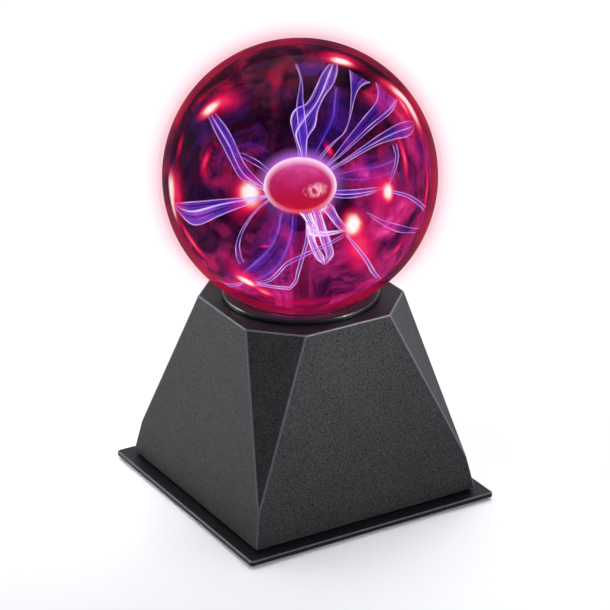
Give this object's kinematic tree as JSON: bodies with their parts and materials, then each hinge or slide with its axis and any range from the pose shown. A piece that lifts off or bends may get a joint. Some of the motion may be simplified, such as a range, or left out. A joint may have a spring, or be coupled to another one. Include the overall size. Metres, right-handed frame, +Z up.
{
  "type": "plasma ball",
  "caption": "Tabletop plasma ball: a gas-filled glass globe in a black collar on a pyramid housing with cut corners and a square plinth, with its electrode, driver board and rocker switch.",
  "frame": {"origin": "centre of the resting plane, under the rubber feet", "axes": "+Z up through the globe, -Y the front of the housing, +Y the back with the inlet and the switch, +X to the right seen from the front"},
  "size_m": [0.158, 0.158, 0.2627],
  "materials": {
    "textured_black_abs": "fine spark-textured black ABS",
    "black_abs": "satin black ABS",
    "gloss_black_abs": "polished black ABS",
    "black_rubber": "matt black rubber",
    "dark_red_silicone": "soft dark red silicone",
    "clear_glass": "clear blown glass, lit from inside by the discharge",
    "red_conductive_coating": "red conductive lacquer inside the electrode bulb, glowing when lit",
    "zinc_plated_steel": "bright zinc plate",
    "nickel_plated_brass": "nickel-plated brass",
    "anodised_aluminium": "grey anodised aluminium",
    "solder_masked_board": "green solder mask on glass fibre",
    "ferrite": "matt dark grey ferrite",
    "enamelled_copper": "enamelled copper wire",
    "varnished_winding": "varnished fine copper winding",
    "white_nylon": "off-white nylon",
    "blue_pvc_sleeve": "blue PVC sleeve",
    "red_epoxy": "red epoxy dip",
    "black_epoxy": "matt black moulded epoxy",
    "tan_lacquer": "tan lacquer",
    "inlet_live_lead_pvc": "red PVC",
    "inlet_ground_lead_pvc": "black PVC",
    "switch_on_lead_pvc": "yellow PVC",
    "switch_sound_lead_pvc": "white PVC",
    "high_voltage_lead_pvc": "thick red high-voltage sleeve"
  },
  "bodies": {
    "housing": {"base_plate": "black_abs", "board_screw_back_left": "zinc_plated_steel", "board_screw_back_right": "zinc_plated_steel", "board_screw_front_left": "zinc_plated_steel", "board_screw_front_right": "zinc_plated_steel", "clamp_diode": "black_epoxy", "collar_screw_1": "zinc_plated_steel", "collar_screw_2": "zinc_plated_steel", "collar_screw_3": "zinc_plated_steel", "contact_spring": "zinc_plated_steel", "current_resistor": "tan_lacquer", "driver_board": "solder_masked_board", "electrode_bulb": "clear_glass", "electrode_coating": "red_conductive_coating", "electrode_stem": "clear_glass", "film_capacitor": "red_epoxy", "filter_capacitor": "blue_pvc_sleeve", "foot_back_left": "black_rubber", "foot_back_right": "black_rubber", "foot_front_left": "black_rubber", "foot_front_right": "black_rubber", "gate_resistor": "tan_lacquer", "glass_globe": "clear_glass", "globe_collar": "gloss_black_abs", "globe_gasket": "dark_red_silicone", "heat_sink": "anodised_aluminium", "high_voltage_lead": "high_voltage_lead_pvc", "housing_screw_back_left": "zinc_plated_steel", "housing_screw_back_right": "zinc_plated_steel", "housing_screw_front_left": "zinc_plated_steel", "housing_screw_front_right": "zinc_plated_steel", "inlet_body": "black_abs", "inlet_ground_lead": "inlet_ground_lead_pvc", "inlet_live_lead": "inlet_live_lead_pvc", "inlet_nut": "zinc_plated_steel", "inlet_pin": "nickel_plated_brass", "inlet_sleeve_tag": "nickel_plated_brass", "lead_header": "white_nylon", "microphone": "anodised_aluminium", "neck_cap": "white_nylon", "power_transistor": "black_epoxy", "primary_winding": "enamelled_copper", "secondary_spool": "white_nylon", "secondary_winding": "varnished_winding", "sound_level_trimmer": "white_nylon", "switch_case": "black_abs", "switch_on_lead": "switch_on_lead_pvc", "switch_sound_lead": "switch_sound_lead_pvc", "switch_terminal_common": "nickel_plated_brass", "switch_terminal_on": "nickel_plated_brass", "switch_terminal_sound": "nickel_plated_brass", "timing_chip": "black_epoxy", "timing_resistor": "tan_lacquer", "transformer_core": "ferrite", "transistor_screw": "zinc_plated_steel", "upper_housing": "textured_black_abs"},
    "rocker": {"switch_rocker": "gloss_black_abs"}
  },
  "joints": [
    {"name": "switch_rocker", "type": "hinge", "parent": "housing", "child": "rocker", "pos_m": [0.022, 0.06396, 0.03553], "axis": [1, 0, 0], "range_deg": [0, 24]}
  ]
}
